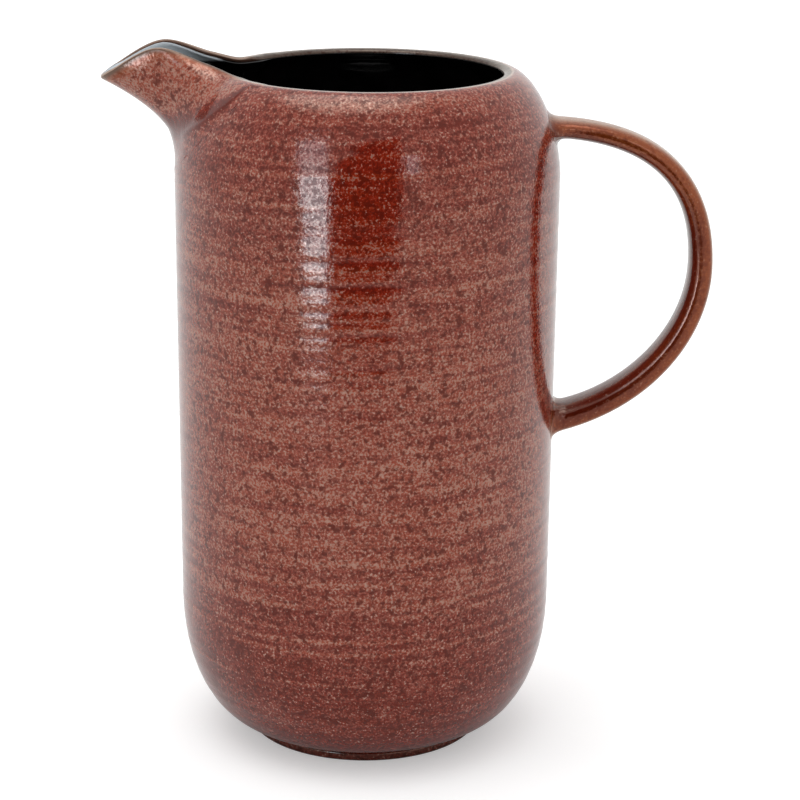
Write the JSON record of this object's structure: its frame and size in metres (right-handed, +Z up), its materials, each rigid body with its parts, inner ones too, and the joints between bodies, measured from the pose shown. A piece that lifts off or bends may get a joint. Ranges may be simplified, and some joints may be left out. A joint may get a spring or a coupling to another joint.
{
  "type": "jug",
  "caption": "Tall glazed ceramic jug for holding and pouring drinks: a rounded cylinder on a low foot ring, with a raised beak spout and a strap handle opposite it.",
  "frame": {"origin": "on the axis of the thrown body, in the plane that the foot ring stands on", "axes": "+Z up along the body's axis, the handle along +X, the spout along -X, the jug halved by the XZ plane"},
  "size_m": [0.1988, 0.1252, 0.2317],
  "materials": {
    "red_glaze": "glossy speckled red-brown glaze over throwing rings",
    "copper_glaze": "glossy copper-red glaze, thin and paler along the edges",
    "foot_glaze": "thin dark red-brown glaze over turned clay",
    "black_glaze": "glossy black liner glaze"
  },
  "bodies": {
    "root": {"body": "red_glaze", "foot_ring": "foot_glaze", "spout": "red_glaze", "handle": "copper_glaze", "upper_handle_joint": "copper_glaze", "lower_handle_joint": "copper_glaze", "liner_glaze": "black_glaze", "spout_glaze": "black_glaze"}
  },
  "joints": []
}
